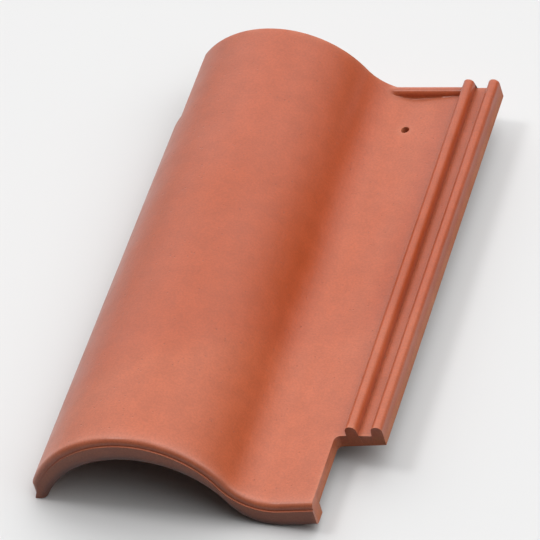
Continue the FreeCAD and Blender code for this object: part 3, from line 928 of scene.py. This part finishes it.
def terracotta():
    """Fired clay with a thin satin slip on the upper side, bare and matt on the underside."""
    material = bpy.data.materials.new("terracotta_slip")
    clay = Nodes(material, "Principled BSDF")
    here = clay.place()
    along = clay.place(STREAK_STRETCH)
    raw = clay.mark("raw")
    is_bare = clay.spread(raw, low=0.35, high=0.65)
    fine = clay.grain(here, scale=650.0, detail=3.0)
    specks = scattered_specks(clay, here)

    colour = clay.blend(is_bare, slip(clay, here, along), bare_clay(clay, here))
    colour = wear_and_painted_light(clay, colour, here, is_bare)
    colour = grained(clay, colour, here, fine)
    colour = clay.blend(clay.times(specks, SPECK_STRENGTH), colour, DARK_SPECK)
    clay.give("Base Color", colour)

    satin = clay.cloud(here, scale=40.0, detail=4.0, bottom=0.30, top=0.37)
    clay.give("Roughness", clay.reckon("ADD", satin, clay.times(raw, BARE_ROUGHNESS)))
    clay.give("Specular IOR Level", SLIP_SPECULAR)
    clay.give("Normal", fine_relief(clay, here, along, raw, fine, specks))
    return material


tile_mesh.materials.append(terracotta())

# Pale floor, which throws little light back onto the tile
FLOOR_SIZE = 12
FLOOR_SEEN = (0.80, 0.80, 0.80, 1)
FLOOR_BOUNCE = (0.12, 0.12, 0.12, 1)
FLOOR_ROUGHNESS = 0.9


def pale_floor():
    """Matt floor that looks paler than the light it throws back."""
    material = bpy.data.materials.new("pale_floor")
    ground = Nodes(material, "Principled BSDF")
    ray = ground.node("ShaderNodeLightPath").outputs
    seen = ground.reckon("MAXIMUM", ray["Is Camera Ray"], ray["Is Glossy Ray"])
    seen = ground.reckon("MAXIMUM", seen, ray["Is Transmission Ray"])
    ground.give("Base Color", ground.blend(seen, FLOOR_BOUNCE, FLOOR_SEEN))
    ground.give("Roughness", FLOOR_ROUGHNESS)
    ground.give("Specular IOR Level", 0.0)
    return material


bpy.ops.mesh.primitive_plane_add(size=FLOOR_SIZE)
floor = bpy.context.object
floor.name = "floor"
floor.data.materials.append(pale_floor())

# Soft light, aimed in the frame of the laid tile: a glow from behind, one from the right, a lamp above
WHITE = (1, 1, 1, 1)
KEY_FROM = LEAN @ Vector((-0.35, 0.05, 0.94))
KEY_ENERGY = 0.58
KEY_ANGLE = math.radians(15)
world = bpy.data.worlds.new("studio")
bpy.context.scene.world = world
sky = Nodes(world, "Background")


def glow(toward, outer, inner, strength, dim=0.0):
    """Light from round a direction, by the cosine to it: dim up to the outer one, rising to the inner."""
    cosine = sky.node("ShaderNodeVectorMath", operation="DOT_PRODUCT")
    sky.feed(cosine.inputs[0], sky.node("ShaderNodeTexCoord").outputs["Generated"])
    sky.feed(cosine.inputs[1], LEAN @ Vector(toward).normalized())
    return sky.spread(cosine.outputs["Value"], low=outer, high=inner, bottom=dim, top=strength)


behind = glow(toward=(-0.5, 1.3, 1.0), outer=0.44, inner=1.34, strength=2.65, dim=0.04)
beside = glow(toward=(0.96, 0.2, 1.2), outer=0.64, inner=0.95, strength=1.75)
sky.give("Strength", sky.reckon("ADD", behind, beside))
sky.give("Color", WHITE)

key = bpy.data.lights.new("key", "SUN")
key.energy = KEY_ENERGY
key.angle = KEY_ANGLE
key_lamp = bpy.data.objects.new("key", key)
key_lamp.rotation_mode = "QUATERNION"
key_lamp.rotation_quaternion = KEY_FROM.to_track_quat("Z", "Y")
bpy.context.scene.collection.objects.link(key_lamp)

# Camera at the photo's angle to the tile, with distance in metres, lens and sensor in millimetres
VIEW_AZIMUTH = math.radians(27.6)
VIEW_ELEVATION = math.radians(41.3)
VIEW_ROLL = math.radians(-18.5)
VIEW_DISTANCE = 4.8
VIEW_LENS = 430
VIEW_SENSOR = 36
back = Vector((
    math.sin(VIEW_AZIMUTH) * math.cos(VIEW_ELEVATION),
    -math.cos(VIEW_AZIMUTH) * math.cos(VIEW_ELEVATION),
    math.sin(VIEW_ELEVATION),
))
level = Vector((math.cos(VIEW_AZIMUTH), math.sin(VIEW_AZIMUTH), 0))
right = LEAN @ Matrix.Rotation(VIEW_ROLL, 3, back) @ level
back = LEAN @ back
up = back.cross(right)
camera = bpy.data.cameras.new("camera")
camera.lens = VIEW_LENS
camera.sensor_width = VIEW_SENSOR
viewer = bpy.data.objects.new("camera", camera)
bpy.context.scene.collection.objects.link(viewer)
viewer.rotation_mode = "QUATERNION"
viewer.rotation_quaternion = Matrix((right, up, back)).transposed().to_quaternion()
viewer.location = (cad_box[0] + cad_box[1]) / 2 + back * VIEW_DISTANCE
bpy.context.scene.camera = viewer
bpy.context.scene.view_settings.view_transform = "Standard"
